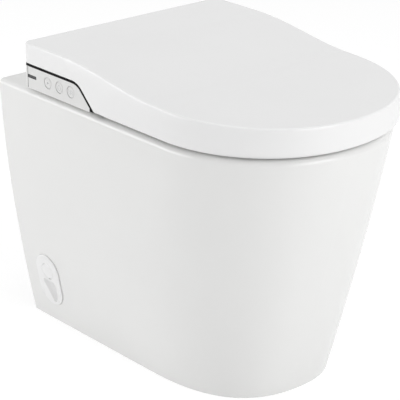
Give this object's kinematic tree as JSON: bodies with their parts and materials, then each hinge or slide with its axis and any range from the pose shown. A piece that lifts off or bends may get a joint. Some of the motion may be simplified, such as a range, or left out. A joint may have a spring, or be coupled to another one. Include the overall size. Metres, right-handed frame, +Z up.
{
  "type": "heated seat smart toilet",
  "caption": "Back-to-wall washing toilet with a heated seat, a lid over the seat unit and side buttons.",
  "frame": {"origin": "on the floor, under the middle of the whole object's length and width", "axes": "+Z up, -Y to the front, +Y to the wall behind, -X to the sitter's right with the control panel"},
  "size_m": [0.385, 0.594, 0.483],
  "materials": {
    "glazed_china": "glazed, glossy white",
    "white_gloss": "moulded, glossy white",
    "white_satin": "moulded, satin white",
    "grey_plastic": "moulded, fine texture",
    "clear_plastic": "moulded, milky",
    "dark_window": "polished smoked plastic",
    "black_rubber": "moulded, matt",
    "grey_rubber": "moulded, matt",
    "stainless_steel": "brushed",
    "brass": "turned",
    "motor_steel": "plated",
    "acetal": "moulded, waxy",
    "board_green": "solder mask",
    "charcoal": "pleated filter",
    "heating_foil": "foil",
    "heater_ceramic": "fired, matt"
  },
  "bodies": {
    "pan": {"ceramic_pan": "glazed_china", "side_cover_right": "white_gloss", "side_cover_left": "white_gloss", "side_cover_caps": "white_gloss", "side_fixing_screws": "stainless_steel", "floor_bracket_right": "stainless_steel", "floor_bracket_left": "stainless_steel", "flush_inlet_seal": "black_rubber", "mounting_plate": "grey_plastic", "mounting_bolts": "stainless_steel", "mounting_washers": "black_rubber", "mounting_nuts": "stainless_steel", "housing_base": "white_satin", "housing_cover": "white_gloss", "housing_screws": "stainless_steel", "control_panel": "white_gloss", "blank_panel": "white_gloss", "panel_seals": "black_rubber", "sensor_window": "dark_window", "keypad_mat": "grey_rubber", "button_board": "board_green", "hinge_brackets": "grey_plastic", "hinge_pins": "stainless_steel", "seat_damper": "grey_plastic", "lid_damper": "grey_plastic", "water_inlet_fitting": "brass", "solenoid_valve": "grey_plastic", "water_tank": "clear_plastic", "tank_heater": "stainless_steel", "water_pump": "grey_plastic", "water_hoses": "grey_rubber", "cable_gland": "grey_plastic", "nozzle_motor": "motor_steel", "nozzle_guide_rail": "acetal", "fan_housing": "grey_plastic", "dryer_duct": "grey_plastic", "dryer_heater": "heater_ceramic", "fan_motor": "motor_steel", "deodoriser_filter": "charcoal", "main_board": "board_green"},
    "seat": {"seat_top_shell": "white_gloss", "seat_bottom_shell": "white_gloss", "seat_heating_element": "heating_foil", "seat_bumpers": "grey_rubber", "seat_hinge_bushes": "acetal"},
    "lid": {"lid_shell": "white_gloss", "lid_liner": "white_gloss", "lid_screws": "stainless_steel", "lid_bumpers": "grey_rubber", "lid_hinge_lugs": "grey_plastic"},
    "nozzle": {"nozzle_tube": "stainless_steel", "nozzle_tip": "white_gloss", "nozzle_rack": "acetal"},
    "pinion": {"nozzle_pinion": "acetal"},
    "impeller": {"dryer_impeller": "grey_plastic"},
    "flap": {"dryer_flap": "white_gloss"},
    "wash_key": {"wash_button": "white_gloss"},
    "rinse_key": {"rinse_button": "white_gloss"},
    "dry_key": {"dry_button": "white_gloss"}
  },
  "joints": [
    {"name": "seat_hinge", "type": "hinge", "parent": "pan", "child": "seat", "pos_m": [0, 0.215, 0.462], "axis": [-1, 0, 0], "range_deg": [0, 92]},
    {"name": "lid_hinge", "type": "hinge", "parent": "seat", "child": "lid", "pos_m": [0, 0.215, 0.462], "axis": [1, 0, 0], "range_deg": [-95, 0]},
    {"name": "nozzle_slide", "type": "slide", "parent": "pan", "child": "nozzle", "axis": [0, -0.9511, -0.309], "range_m": [0, 0.105]},
    {"name": "pinion_spin", "type": "hinge", "parent": "pan", "child": "pinion", "pos_m": [0.0188, 0.07826, 0.4193], "axis": [0, -0.309, 0.9511], "range_deg": [-5, 810]},
    {"name": "flap_hinge", "type": "hinge", "parent": "pan", "child": "flap", "pos_m": [0.068, 0.04925, 0.4231], "axis": [-1, 0, 0], "range_deg": [0, 50]},
    {"name": "impeller_spin", "type": "hinge", "parent": "pan", "child": "impeller", "pos_m": [0.095, 0.13, 0.42], "axis": [0, 0, 1], "continuous": true},
    {"name": "wash_press", "type": "slide", "parent": "pan", "child": "wash_key", "axis": [1, 0, 0], "range_m": [0, 0.0008], "stiffness_N_per_m": 1500},
    {"name": "rinse_press", "type": "slide", "parent": "pan", "child": "rinse_key", "axis": [1, 0, 0], "range_m": [0, 0.0008], "stiffness_N_per_m": 1500},
    {"name": "dry_press", "type": "slide", "parent": "pan", "child": "dry_key", "axis": [1, 0, 0], "range_m": [0, 0.0008], "stiffness_N_per_m": 1500}
  ],
  "couplings": [
    {"joint": "pinion_spin", "follows": "nozzle_slide", "rad_per_m": 133.33}
  ]
}
